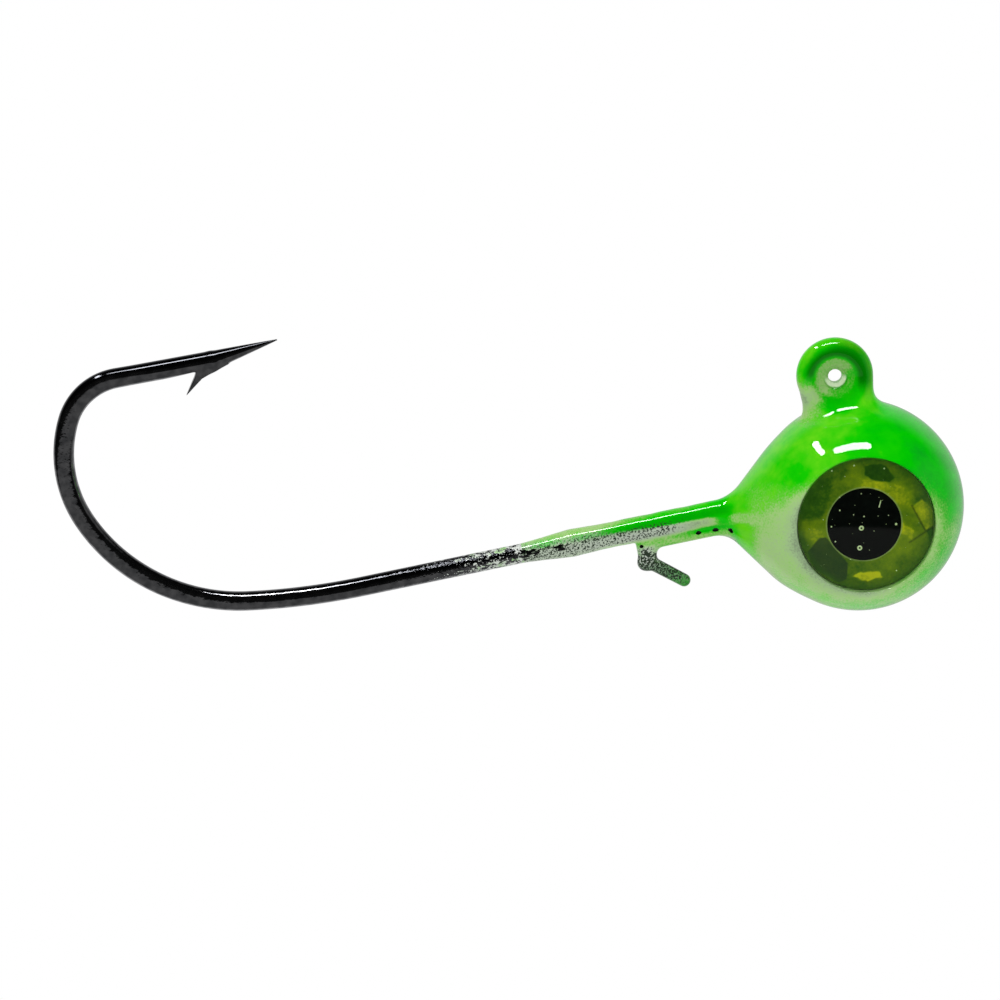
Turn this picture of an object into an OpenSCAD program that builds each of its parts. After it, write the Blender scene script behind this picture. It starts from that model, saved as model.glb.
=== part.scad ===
// Ball jig head: a lead ball cast on a jig hook and a wire bait keeper, under three coats of paint,
// with a domed sticker eye in a socket on each side.
// Origin: centre of the line-tie hole. +X points to the nose, +Z up, and the hook lies in the XZ plane.
// All sizes are in millimetres.

/* [Head] */
// Diameter of the bare lead ball
ball_d = 12.06; // [11.9:0.02:12.2]
// Height of the line tie above the centre of the ball
tie_rise = 7.98; // [7.9:0.02:8.06]
// Distance of the line tie ahead of the centre of the ball
tie_lead = 0.09; // [0.05:0.01:0.13]
// Upward tilt of the conical neck behind the ball, in degrees
neck_lift = 6.4; // [6:0.1:6.8]
// Length of the neck, from the centre of the ball to its rear end
neck_len = 7.7; // [7.5:0.1:7.9]
// Depth of the flat where the casting gate was cut off
gate_cut = 0.1; // [0.06:0.01:0.14]
// Direction of the gate flat below the nose, in degrees
gate_angle = 57; // [50:1:64]

/* [Hook] */
// Diameter of the hook wire
wire_d = 1.14; // [1.12:0.02:1.16]
// Inside diameter of the hook's ring
ring_id = 1.88; // [1.84:0.02:1.92]
// Height of the shank above the centre of the ball
shank_rise = 1.27; // [1.23:0.01:1.31]
// Distance from the centre of the ball back to the start of the bend
shank_len = 29.36; // [28:0.02:31]
// Radius of the shank's upward bend inside the ball
riser_bend_r = 1.5; // [1.4:0.1:1.6]
// Radius of the gentle curve where the shank ends
heel_r = 41.0; // [39:0.1:43]
// Turn of the gentle curve, in degrees
heel_turn = 9.4; // [9:0.1:9.8]
// Radius of the lower part of the bend
lower_r = 10.9; // [10.6:0.1:11.2]
// Turn of the lower part of the bend, in degrees
lower_turn = 59.3; // [59:0.1:59.6]
// Radius of the upper part of the bend
upper_r = 7.4; // [7.2:0.1:7.6]
// Turn of the upper part of the bend, in degrees
upper_turn = 48.6; // [48:0.1:49.2]
// Radius of the corner into the barbed limb
corner_r = 3.5; // [3.3:0.1:3.7]
// Turn of the corner, in degrees
corner_turn = 64.1; // [63.8:0.1:64.4]
// Thickness of the flattened bend, across the hook's plane
forged_t = 1.0; // [0.96:0.02:1.04]
// Length of the straight limb from the corner to the start of the point
limb_len = 5.6; // [5.2:0.1:6]
// Length of the tapered point
point_len = 4.0; // [3.6:0.1:4.4]
// Lift of the tapered point away from the limb's line, in degrees
point_lift = 7.5; // [6:0.5:8]
// Distance of the barb's tip below the limb's centre line
barb_drop = 1.8; // [1.6:0.1:2]
// Thickness of the barb, across the hook's plane
barb_t = 0.5; // [0.4:0.05:0.6]

/* [Bait keeper] */
// Diameter of the keeper wire
keeper_d = 0.56; // [0.54:0.02:0.58]
// Distance of the keeper's leg behind the centre of the ball
keeper_back = 12.82; // [12.5:0.02:13.1]
// Length of the keeper's leg between its two bends
leg_len = 0.52; // [0.42:0.02:0.64]
// Length of the keeper's straight spike
spike_len = 2.25; // [2:0.05:2.5]
// Slope of the spike below the horizontal, in degrees
spike_slope = 38; // [34:1:42]

/* [Paint] */
// Thickness of the white undercoat
undercoat_t = 0.05; // [0.04:0.01:0.06]
// Thickness of the green coat
colour_t = 0.06; // [0.05:0.01:0.07]
// Thickness of the clear coat
clear_t = 0.06; // [0.05:0.01:0.07]
// Length of the painted sleeve, from the centre of the ball back along the shank
sleeve_len = 20.1; // [19.5:0.1:20.7]
// Diameter of the hole left through the paint in the line tie
tie_hole_d = 0.8; // [0.76:0.02:0.84]
// Thickness of the paint web that closes the ring around the hole
web_t = 1.0; // [0.96:0.02:1.04]

/* [Eyes] */
// Diameter of the sticker eye
eye_d = 8.0; // [7.9:0.05:8.05]
// Diameter of the finished socket
socket_d = 8.12; // [8.12:0.02:8.2]
// Distance of the finished socket's floor from the hook's plane
socket_floor = 3.95; // [3.9:0.01:4]
// Diameter of the printed pupil
pupil_d = 4.34; // [3.6:0.02:5]
// Height of the lens's dome above its rim
dome_h = 1.2; // [1:0.05:1.3]

/* [Hidden] */
$fn = 96;

ball_r = ball_d / 2;
ball_x = -tie_lead;
ball_z = -tie_rise;
wire_r = wire_d / 2;
keeper_r = keeper_d / 2;
ring_r = (ring_id + wire_d) / 2;
shank_z = ball_z + shank_rise;
paint_t = undercoat_t + colour_t + clear_t;

// The outer surface of each coat, measured from the bare metal.
undercoat_top = undercoat_t;
colour_top = undercoat_t + colour_t;

// Neighbouring lengths of wire differ by this much in radius, and each reaches this far into the next.
swell = 0.01;
lap = 0.05;

// Neck: where the cone's slope eases, and the painted radius there and at the rear end.
neck_mid = 6.4;
neck_mid_r = 2.42;
neck_end_r = 1.3;
// The cone leaves the ball along a line that passes this far inside the ball's surface.
neck_bite = 0.02;
// How much a 45 degree cone's radius grows for each unit of paint on it.
cone_growth = 1.4;

// Keeper wire: it runs this far under the shank, with its two bends at this radius.
keeper_gap = 0.06;
keeper_bend_r = 0.45;
keeper_start_x = ball_x - 3;
keeper_z = shank_z - wire_r - keeper_gap - keeper_r;
keeper_leg_x = ball_x - keeper_back;
// Paint is thinner on the keeper's free spike than on the head.
spike_cover = 0.6;

// Paint fillets between the ring and the ball: radius behind the ring and ahead of it.
rear_fillet_r = 0.7;
front_fillet_r = 1.3;
fillet_bite = 0.03;
fillet_half_t = 0.4;

// The tie hole flares at both faces of the web: depth of the flare and its growth in radius.
flare_depth = 0.2;
flare_r = 0.2;

// The sleeve starts to thin out here, and each coat under the clear one ends this much sooner
// for each unit of paint over it.
sleeve_taper_x = ball_x - 17;
sleeve_stagger = 8;
sleeve_end_cover = 0.3;

// The barb's root, tip and waist, and the cut it was raised from, measured back from the start of the
// point. The waist is where the barb's outer edge bends in, below the limb's centre line.
barb_root_front = 0.75;
barb_root_back = 0.92;
barb_tip_back = 1.8;
barb_waist_back = 0.5;
barb_waist_drop = 0.9;
barb_cut_back = 2.7;
barb_cut_depth = 0.15;
point_tip_r = 0.03;
point_inset = 0.1;

// Eye layers, from the socket floor outward.
adhesive_t = 0.15;
foil_t = 0.1;
pupil_t = 0.04;
rim_t = 0.5;
foil_y = socket_floor + adhesive_t;
print_y = foil_y + foil_t;
rim_y = print_y + rim_t;
eye_r = eye_d / 2;

// Colours of the parts.
nickel = [0.12, 0.12, 0.13];
lead = [0.45, 0.46, 0.48];
keeper_steel = [0.6, 0.6, 0.6];
white = [0.93, 0.94, 0.9];
green = [0.1, 0.8, 0.1];
clear = [0.75, 1, 0.75, 0.35];
foam = [0.85, 0.85, 0.8];
foil = [0.55, 0.6, 0.15];
black = [0.02, 0.02, 0.02];
resin = [0.9, 0.95, 0.9, 0.35];

// Wire is laid out as a path in the hook's plane. A pose on it is [x, z, heading in degrees].
function ahead(p, len) = [p[0] + len * cos(p[2]), p[1] + len * sin(p[2]), p[2]];

function curved(p, r, turn) =
    let (side = sign(turn), heading = p[2] + turn)
    [
        p[0] + side * r * (sin(heading) - sin(p[2])),
        p[1] - side * r * (cos(heading) - cos(p[2])),
        heading,
    ];

// The hook's path, from the bend inside the ball round to the start of the point.
shank_front = [-riser_bend_r, shank_z, 180];
heel_start = [ball_x - shank_len, shank_z, 180];
lower_start = curved(heel_start, heel_r, -heel_turn);
upper_start = curved(lower_start, lower_r, -lower_turn);
corner_start = curved(upper_start, upper_r, -upper_turn);
limb_start = curved(corner_start, corner_r, -corner_turn);
point_start = ahead(limb_start, limb_len);

// The keeper's path, from inside the ball to the end of its spike.
keeper_start = [keeper_start_x, keeper_z, 180];
keeper_run = keeper_start_x - keeper_leg_x - keeper_bend_r;
knee_start = ahead(keeper_start, keeper_run);
leg_start = curved(knee_start, keeper_bend_r, 90);
ankle_start = ahead(leg_start, leg_len);
spike_start = curved(ankle_start, keeper_bend_r, 90 - spike_slope);
spike_end = ahead(spike_start, spike_len);

// Centre of a fillet between the finished ring and ball. Side is 1 ahead of the ring and -1 behind it.
function fillet_centre(r, side) =
    let (
        across = norm([tie_lead, tie_rise]),
        from_ball = ball_r + paint_t + r,
        from_ring = ring_r + wire_r + paint_t + r,
        up = (from_ball ^ 2 - from_ring ^ 2 + across ^ 2) / (2 * across),
        out = sqrt(from_ball ^ 2 - up ^ 2) * side
    )
    [
        ball_x + (tie_lead * up + tie_rise * out) / across,
        ball_z + (tie_rise * up - tie_lead * out) / across,
    ];

rear_fillet = fillet_centre(rear_fillet_r, -1);
front_fillet = fillet_centre(front_fillet_r, 1);

// Lays a drawing in XY onto the hook's plane, XZ.
module in_hook_plane() {
    rotate([90, 0, 0]) children();
}

// A straight length of wire from a pose, tapering from r1 to r2.
module straight_wire(p, len, r1, r2) {
    translate([p[0], p[1], 0])
        rotate([0, 0, p[2]])
            translate([-lap, 0, 0])
                rotate([0, 90, 0])
                    cylinder(h = len + 2 * lap, r1 = r1, r2 = r2);
}

// A bent length of wire from a pose. A positive turn is to the left.
module bent_wire(p, r, turn, wire) {
    side = sign(turn);
    lap_turn = lap / r * 180 / PI;
    first = (turn > 0 ? p[2] - 90 : p[2] + 90 + turn) - lap_turn;
    translate([p[0] - side * r * sin(p[2]), p[1] + side * r * cos(p[2]), 0])
        rotate([0, 0, first])
            rotate_extrude(angle = abs(turn) + 2 * lap_turn)
                translate([r, 0])
                    circle(r = wire);
}

// The hook's closed ring, with its axis across the hook's plane.
module ring(wire) {
    rotate_extrude()
        translate([ring_r, 0])
            circle(r = wire);
}

// Ring, riser and shank: the part of the hook that the head and the paint close around.
module hook_core() {
    riser_z = shank_z + riser_bend_r;
    in_hook_plane() {
        ring(wire_r);
        straight_wire([0, riser_z, 90], -ring_r - riser_z, wire_r - 2 * swell, wire_r - 2 * swell);
        bent_wire([0, riser_z, 270], riser_bend_r, -90, wire_r - swell);
        straight_wire(shank_front, shank_len - ball_x - riser_bend_r, wire_r, wire_r);
    }
}

// The rest of the hook's wire, with its bend hammered flat on both sides.
module bend() {
    reach = shank_len + tie_rise;
    bent_wire(heel_start, heel_r, -heel_turn, wire_r + swell);
    intersection() {
        union() {
            bent_wire(lower_start, lower_r, -lower_turn, wire_r + 2 * swell);
            bent_wire(upper_start, upper_r, -upper_turn, wire_r + 4 * swell);
            bent_wire(corner_start, corner_r, -corner_turn, wire_r + 3 * swell);
        }
        translate([-2 * reach, -reach, -forged_t / 2])
            cube([2 * reach, 2 * reach, forged_t]);
    }
}

// The straight limb with the cut that the barb was raised from, then the barb and the point.
module barbed_limb() {
    difference() {
        straight_wire(limb_start, limb_len, wire_r, wire_r);
        at_point()
            translate([0, 0, -wire_d])
                linear_extrude(2 * wire_d)
                    polygon([
                        [-barb_cut_back, -wire_d],
                        [-barb_cut_back, -wire_r],
                        [-barb_root_back, barb_cut_depth - wire_r],
                        [-barb_root_back, -wire_d],
                    ]);
    }
    at_point()
        translate([0, 0, -barb_t / 2])
            linear_extrude(barb_t)
                polygon([
                    [barb_root_front, -wire_r / 2],
                    [-barb_waist_back, -barb_waist_drop],
                    [-barb_tip_back, -barb_drop],
                    [-barb_root_back, -wire_r / 3],
                ]);
    tip = ahead(point_start, -point_inset);
    straight_wire([tip[0], tip[1], tip[2] + point_lift], point_len, wire_r - 2 * swell, point_tip_r);
}

// Moves to the start of the point, with X along the limb.
module at_point() {
    translate([point_start[0], point_start[1], 0])
        rotate([0, 0, point_start[2]])
            children();
}

module hook() {
    color(nickel) {
        hook_core();
        in_hook_plane() {
            bend();
            barbed_limb();
        }
    }
}

// The keeper's whole path, with one radius under the shank and one for the free spike.
module keeper_path(run_r, spike_r) {
    in_hook_plane() {
        straight_wire(keeper_start, keeper_run, run_r, run_r);
        bent_wire(knee_start, keeper_bend_r, 90, spike_r - swell);
        straight_wire(leg_start, leg_len, spike_r - 2 * swell, spike_r - 2 * swell);
        bent_wire(ankle_start, keeper_bend_r, 90 - spike_slope, spike_r - swell);
        straight_wire(spike_start, spike_len, spike_r, spike_r);
    }
}

module keeper_wire() {
    color(keeper_steel) keeper_path(keeper_r, keeper_r);
}

// Half of the outline of the ball and neck under t of paint, ready to turn about the neck's axis.
module head_outline(t) {
    under = paint_t - t;
    mid_r = neck_mid_r - cone_growth * under;
    line_r = ball_r + t - neck_bite;
    leave = atan2(mid_r, neck_mid) + acos(line_r / norm([neck_mid, mid_r]));
    intersection() {
        circle(r = ball_r + t);
        translate([0, -ball_d]) square([ball_d, 2 * ball_d]);
    }
    polygon([
        [0, 0],
        [line_r * sin(leave), line_r * cos(leave)],
        [mid_r, neck_mid],
        [neck_end_r - cone_growth * under, neck_len - under],
        [0, neck_len - under],
    ]);
}

// Ball and neck with t of paint, and the flat left by the gate.
module head_body(t) {
    translate([ball_x, 0, ball_z])
        difference() {
            rotate([0, neck_lift - 90, 0])
                rotate_extrude()
                    head_outline(t);
            rotate([0, gate_angle, 0])
                translate([ball_r + t - gate_cut, -ball_r, -ball_r])
                    cube([ball_r, ball_d, ball_d]);
        }
}

// Turns +Z outward to one side of the ball. Side is 1 for +Y, the left eye, and -1 for -Y, the right eye.
module on_side(side) {
    translate([ball_x, 0, ball_z])
        rotate([-90 * side, 0, 0])
            children();
}

// Both eye sockets, cut larger and deeper by the paint that is still to go on.
module sockets(under) {
    for (side = [-1, 1])
        on_side(side)
            translate([0, 0, socket_floor - under])
                cylinder(h = ball_r, r = socket_d / 2 + under);
}

// Flat fillets that join the ring to the ball, ahead of it and behind it.
module ear_fillets(t) {
    under = paint_t - t;
    half_t = fillet_half_t + t;
    translate([0, 0, -half_t])
        linear_extrude(2 * half_t)
            difference() {
                polygon([[0, 0], rear_fillet, [ball_x, ball_z + ball_r / 2], front_fillet]);
                circle(r = ring_r);
                translate(rear_fillet) circle(r = rear_fillet_r + under + fillet_bite);
                translate(front_fillet) circle(r = front_fillet_r + under + fillet_bite);
            }
}

// The paint along the shank, which thins out to its end.
module sleeve(t) {
    end_x = ball_x - sleeve_len + sleeve_stagger * (paint_t - t);
    front_len = shank_front[0] - sleeve_taper_x;
    taper_start = ahead(shank_front, front_len);
    end_r = wire_r + sleeve_end_cover * t;
    straight_wire(shank_front, front_len, wire_r + t, wire_r + t);
    straight_wire(taper_start, sleeve_taper_x - end_x, wire_r + t - swell, end_r);
}

// The hole through the web. In the clear coat it has a straight wall between two flares. In each coat
// under it there is no straight wall: the hole narrows from both faces to a waist.
module tie_hole(under) {
    hole_r = tie_hole_d / 2 + under;
    half_wall = under > 0 ? 0 : web_t / 2 - flare_depth;
    slope = flare_r / (web_t / 2 - half_wall);
    flare_len = web_t - half_wall;
    if (half_wall > 0)
        rotate([90, 0, 0]) cylinder(h = 2 * half_wall + lap, r = hole_r, center = true);
    for (side = [-1, 1])
        rotate([-90 * side, 0, 0])
            translate([0, 0, half_wall])
                cylinder(h = flare_len, r1 = hole_r, r2 = hole_r + slope * flare_len);
}

// Everything inside the paint's surface once t of paint is on.
module painted(t) {
    under = paint_t - t;
    difference() {
        union() {
            head_body(t);
            in_hook_plane() {
                ring(wire_r + t);
                translate([0, 0, under - web_t / 2]) cylinder(h = web_t - 2 * under, r = ring_r);
                ear_fillets(t);
                sleeve(t);
                translate([spike_end[0], spike_end[1], 0])
                    sphere(r = keeper_r + spike_cover * t + swell);
            }
            keeper_path(keeper_r + t, keeper_r + spike_cover * t);
        }
        sockets(under);
        tie_hole(under);
    }
}

// The bare casting before the hook and keeper are taken out of it.
module bare_head() {
    difference() {
        head_body(0);
        sockets(paint_t);
    }
}

module lead_head() {
    color(lead) difference() {
        bare_head();
        hook_core();
        keeper_path(keeper_r, keeper_r);
    }
}

module base_coat() {
    color(white) difference() {
        painted(undercoat_top);
        bare_head();
        hook_core();
        keeper_path(keeper_r, keeper_r);
    }
}

module colour_coat() {
    color(green) difference() {
        painted(colour_top);
        painted(undercoat_top);
    }
}

module clear_coat() {
    color(clear) difference() {
        painted(paint_t);
        painted(colour_top);
    }
}

// The foam sticker that holds the eye on the socket's floor.
module eye_adhesive(side) {
    color(foam) on_side(side) translate([0, 0, socket_floor]) cylinder(h = adhesive_t, r = eye_r);
}

module eye_foil(side) {
    color(foil) on_side(side) translate([0, 0, foil_y]) cylinder(h = foil_t, r = eye_r);
}

module eye_pupil(side) {
    color(black) on_side(side) translate([0, 0, print_y]) cylinder(h = pupil_t, r = pupil_d / 2);
}

// The clear dome over the foil, moulded around the pupil's print.
module eye_lens(side) {
    dome_r = (eye_r ^ 2 + dome_h ^ 2) / (2 * dome_h);
    color(resin) on_side(side) difference() {
        intersection() {
            translate([0, 0, print_y]) cylinder(h = rim_t + 2 * dome_h, r = eye_r);
            translate([0, 0, rim_y + dome_h - dome_r]) sphere(r = dome_r);
        }
        translate([0, 0, print_y - pupil_t]) cylinder(h = 2 * pupil_t, r = pupil_d / 2);
    }
}

hook();
lead_head();
keeper_wire();
base_coat();
colour_coat();
clear_coat();
eye_adhesive(1);  // left_eye_adhesive
eye_foil(1);  // left_eye_foil
eye_pupil(1);  // left_eye_pupil
eye_lens(1);  // left_eye_lens
eye_adhesive(-1);  // right_eye_adhesive
eye_foil(-1);  // right_eye_foil
eye_pupil(-1);  // right_eye_pupil
eye_lens(-1);  // right_eye_lens
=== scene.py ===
"""A painted ball jig head: paint skin, hook and domed eyes built round the CAD frame."""

import math

import bpy
import numpy as np
from mathutils import Matrix, Vector


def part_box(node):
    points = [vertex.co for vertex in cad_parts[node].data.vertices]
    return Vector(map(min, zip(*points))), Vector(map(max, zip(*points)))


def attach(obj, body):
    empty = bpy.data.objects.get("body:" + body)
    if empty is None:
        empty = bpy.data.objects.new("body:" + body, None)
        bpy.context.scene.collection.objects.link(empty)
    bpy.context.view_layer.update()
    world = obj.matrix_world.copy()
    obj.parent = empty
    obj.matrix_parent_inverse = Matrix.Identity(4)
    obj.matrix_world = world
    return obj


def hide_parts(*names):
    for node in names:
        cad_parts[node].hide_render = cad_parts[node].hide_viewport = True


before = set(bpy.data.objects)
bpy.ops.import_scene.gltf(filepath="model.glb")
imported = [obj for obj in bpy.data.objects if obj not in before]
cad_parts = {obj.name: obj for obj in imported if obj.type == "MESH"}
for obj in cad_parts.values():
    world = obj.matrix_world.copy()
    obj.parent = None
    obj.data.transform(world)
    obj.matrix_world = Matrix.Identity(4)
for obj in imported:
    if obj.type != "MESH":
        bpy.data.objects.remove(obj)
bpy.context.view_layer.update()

MM = 0.001


def in_plane(x, z):
    """A place in the hook's plane."""
    return np.array([x, 0.0, z])


def box_mm(node):
    """A CAD node's lowest and highest corners, in millimetres."""
    low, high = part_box(node)
    return np.array(low) / MM, np.array(high) / MM


HOOK_LOW, HOOK_HIGH = box_mm("hook")
LENS_LOW, LENS_HIGH = box_mm("right_eye_lens")
FOIL_LOW, _ = box_mm("right_eye_foil")
PUPIL_LOW, PUPIL_HIGH = box_mm("right_eye_pupil")
COAT_LOW, COAT_HIGH = box_mm("clear_coat")
KEEPER_LOW, KEEPER_HIGH = box_mm("keeper_wire")

# The ball, from the eyes' centre and the paint's lowest point. All sizes here are millimetres.
BALL = in_plane((LENS_LOW[0] + LENS_HIGH[0]) / 2, (LENS_LOW[2] + LENS_HIGH[2]) / 2)
BALL_R = BALL[2] - COAT_LOW[2]
EYE_R = (LENS_HIGH[0] - LENS_LOW[0]) / 2
PUPIL_R = (PUPIL_HIGH[0] - PUPIL_LOW[0]) / 2
PRINT_Y = -FOIL_LOW[1]
PUPIL_Y = -PUPIL_LOW[1]
DOME_Y = -LENS_LOW[1]
RIM_Y = 4.7
SOCKET_FLOOR = PRINT_Y - 0.25
SOCKET_R = EYE_R + 0.05

# The hook's wire. The bend's arcs are (radius, turn in degrees), and its wire spreads as it is
# hammered flat: each flat starts clear of the round wire and ends cut into it.
WIRE_R = 0.57
SHANK_Z = HOOK_LOW[2] + WIRE_R
RING_R = 1.51
RISER_BEND_R = 1.5
SHANK_END = BALL[0] - 29.36
BEND = ((41.0, 9.4), (10.9, 59.3), (7.4, 48.6), (3.5, 64.1))
BEND_SPREAD = 0.035
FLAT_CLEAR = 0.1
FLAT_CUT = 0.07
LIMB_LEN = 5.6
POINT_LEN = 4.0
POINT_LIFT = 7.5
POINT_R = WIRE_R - 0.01
POINT_TIP_R = 0.04

# The paint on the neck and on the sleeve behind it, which has a bead and a thinning end.
NECK_R = 5.28
NECK_START = BALL + in_plane(-1.5, 0.03)
NECK_TIP = BALL + in_plane(-7.13, 0.72)
NECK_TIP_R = 1.05
WIRES_START = BALL[0] - 4.0
SLEEVE_R = 0.745
SLEEVE_END = BALL[0] - 20.2
SLEEVE_END_R = WIRE_R - 0.02
SLEEVE_TAPER = 3.4
BEAD_X = BALL[0] - 16.8
BEAD_HEIGHT = 0.075
BEAD_WIDTH = 0.85

# The paint on the keeper: its run under the shank, its leg, a drip at the ankle, and the spike.
KEEPER_R = (KEEPER_HIGH[1] - KEEPER_LOW[1]) / 2
KEEPER_GAP = 0.06
KEEPER_Z = SHANK_Z - WIRE_R - KEEPER_R - KEEPER_GAP
LEG_X = BALL[0] - 12.82
LEG_TOP = in_plane(LEG_X, KEEPER_Z)
RUN_PAINT_R = 0.43
LEG_PAINT_R = 0.56
DRIP_R = 0.46
SPIKE_PAINT_R = 0.4
SPIKE_TAPER = 0.008

# The paint on the ring: a tube, a web with a flared hole, and a foot at the back of its base.
EAR_TUBE_R = 0.74
WEB_HALF = 0.46
TIE_HOLE_R = 0.4
TIE_WALL_HALF = 0.2
FOOT_TOP = in_plane(-1.5, -1.1)
FOOT_END = in_plane(-1.7, -2.4)
FOOT_R = 0.62

# The flat left by the casting gate: how far down the nose it faces, in degrees, and its depth.
GATE_ANGLE = 57.0
GATE_CUT = 0.1

# Looks: mesh cells, crease angle, and how the spray gun and the eyes were turned, in degrees.
SKIN_STEP = 0.085
HOOK_STEP = 0.05
SHARP_EDGE = 35.0
SPRAY_LIFT = 15.6
SPRAY_TURN = 11.4
LEFT_EYE_TURN = 120.0
PRINT_OFF = np.array([-0.09, -0.03])
LENS_GAP = 0.055
FOIL_T = 0.1
FOIL_INSET = 0.02
FOIL_RINGS = 76
FOIL_SIDES = 420
DOME_STEPS = 26

# Radiance of the room: as light on matt surfaces, and as seen in glossy ones.
ROOM_LIGHT = 0.72
SKY_LIGHT = 1.2
STRIP_LIGHT = 22.0
ROOM_DARK = 0.012
TABLE_GREY = 0.17
BACKDROP_GREY = 0.55


# ---- signed distance fields, in mm

def step01(low, high, value):
    """A smooth step from 0 at low to 1 at high."""
    t = np.clip((value - low) / (high - low), 0.0, 1.0)
    return t * t * (3.0 - 2.0 * t)


def bell(value, centre, width):
    """1 at the centre, falling to 1/e at a width from it."""
    return np.exp(-(((value - centre) / width) ** 2))


def join(a, b, blend):
    """Union of two distances with a fillet about as wide as blend."""
    h = np.clip(0.5 + 0.5 * (b - a) / blend, 0.0, 1.0)
    return b + (a - b) * h - blend * h * (1.0 - h)


def carve(a, b, blend):
    """What is left of a once b is cut away, with a rounded edge."""
    return -join(-a, b, blend)


def sphere(p, centre, radius):
    return np.linalg.norm(p - centre, axis=1) - radius


def rod(p, start, end, radius):
    """A round-ended rod. The radius may be a number or a function of distance along the rod."""
    span = end - start
    length = np.linalg.norm(span)
    along = np.clip((p - start) @ span / length**2, 0.0, 1.0)
    near = start + along[:, None] * span
    r = radius(along * length) if callable(radius) else radius
    return np.linalg.norm(p - near, axis=1) - r


def round_cone(p, start, end, r_start, r_end):
    """The straight-sided skin stretched over two spheres."""
    span = end - start
    length = np.linalg.norm(span)
    axis = span / length
    rel = p - start
    along = rel @ axis
    across = np.linalg.norm(rel - along[:, None] * axis, axis=1)
    slope = (r_start - r_end) / length
    side = math.sqrt(1.0 - slope * slope)
    key = along * side - across * slope
    cone = across * side + along * slope - r_start
    return np.where(
        key < 0,
        np.linalg.norm(rel, axis=1) - r_start,
        np.where(key > length * side, np.linalg.norm(p - end, axis=1) - r_end, cone),
    )


def ring_tube(p, ring_r, tube_r):
    """A torus about the Y axis at the origin."""
    return np.hypot(np.hypot(p[:, 0], p[:, 2]) - ring_r, p[:, 1]) - tube_r


def sleeve_radius(x):
    """The painted sleeve's radius along the shank: an even coat, a bead, then a thinning end."""
    bead = BEAD_HEIGHT * bell(x, BEAD_X, BEAD_WIDTH)
    lumps = 0.01 * np.sin(2.7 * x) + 0.004 * np.sin(5.9 * x + 1.0)
    end = step01(SLEEVE_END, SLEEVE_END + SLEEVE_TAPER, x)
    return SLEEVE_END_R + (SLEEVE_R - SLEEVE_END_R) * end**0.7 + (bead + lumps) * end


def sleeve(p):
    """The paint over the straight shank behind the neck."""
    tube = np.hypot(p[:, 1], p[:, 2] - SHANK_Z) - sleeve_radius(p[:, 0])
    ends = np.maximum(SLEEVE_END - p[:, 0], p[:, 0] - WIRES_START)
    return np.maximum(tube, ends)


def keeper(p):
    """The paint over the keeper, thickest on its leg."""
    rel = p - LEG_TOP
    run = rod(rel, in_plane(WIRES_START - LEG_X, 0.0), in_plane(0.25, 0.0), RUN_PAINT_R)
    leg = rod(rel, in_plane(0.22, -0.1), in_plane(0.12, -1.1), LEG_PAINT_R)
    spike = rod(rel, in_plane(0.1, -1.1), in_plane(1.98, -2.69), lambda s: SPIKE_PAINT_R - SPIKE_TAPER * s)
    drip = sphere(rel, in_plane(-0.05, -1.18), DRIP_R)
    return join(join(run, leg, 0.45), join(spike, drip, 0.2), 0.15)


def ear(p):
    """The paint over the hook's ring, closed by a web with a flared hole."""
    ring = ring_tube(p, RING_R, EAR_TUBE_R)
    radial = np.hypot(p[:, 0], p[:, 2])
    web = np.maximum(np.abs(p[:, 1]) - WEB_HALF, radial - RING_R)
    return join(join(ring, web, 0.3), rod(p, FOOT_TOP, FOOT_END, FOOT_R), 0.4)


def tie_hole(p):
    """The hole through the ear: straight in the middle, flared and lipped at both faces."""
    radial = np.hypot(p[:, 0], p[:, 2])
    flare = np.clip(np.abs(p[:, 1]) - TIE_WALL_HALF, 0.0, WEB_HALF - TIE_WALL_HALF)
    return (radial - TIE_HOLE_R - flare) * 0.8


def eye_socket(p):
    """The two round pockets that the eyes sit in."""
    radial = np.hypot(p[:, 0] - BALL[0], p[:, 2] - BALL[2])
    return np.maximum(radial - SOCKET_R, SOCKET_FLOOR - np.abs(p[:, 1]))


def gate_flat(p):
    """Distance past the flat where the casting gate was trimmed off."""
    a = math.radians(GATE_ANGLE)
    return (p - BALL) @ in_plane(math.cos(a), -math.sin(a)) - (BALL_R - GATE_CUT)


# Pits along the seam, as (x, side and z from the ball's centre, radius), on both sides.
PITS = (
    (-9.49, 0.5, 0.41, 0.085),
    (-8.51, 0.52, 0.38, 0.095),
    (-7.6, 0.95, 0.3, 0.12),
    (-12.85, 0.46, 0.33, 0.075),
)


def pits(p):
    """Small open pits in the paint between the shank and the keeper, longer along the shank."""
    far_off, stretch = 9.0, 1.6
    d = np.full(len(p), far_off)
    for x, y, z, r in PITS:
        along = (p[:, 0] - BALL[0] - x) / stretch
        across = np.hypot(np.abs(p[:, 1]) - y, p[:, 2] - BALL[2] - z)
        d = np.minimum(d, np.hypot(along, across) - r)
    return d


def skin_field(p):
    """The outside of the paint. The ear's fillet grows from the back of its base to the front."""
    body = join(sphere(p, BALL, BALL_R), round_cone(p, NECK_START, NECK_TIP, NECK_R, NECK_TIP_R), 0.2)
    body = -join(-body, -gate_flat(p), 0.12)
    body = join(body, join(sleeve(p), keeper(p), 0.22), 0.7)
    body = join(body, ear(p), 0.55 + 1.3 * step01(-2.3, 0.0, p[:, 0]))
    body = carve(body, eye_socket(p), 0.1)
    body = carve(body, tie_hole(p), 0.04)
    return carve(body, pits(p), 0.04)


# ---- the hook's path

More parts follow.
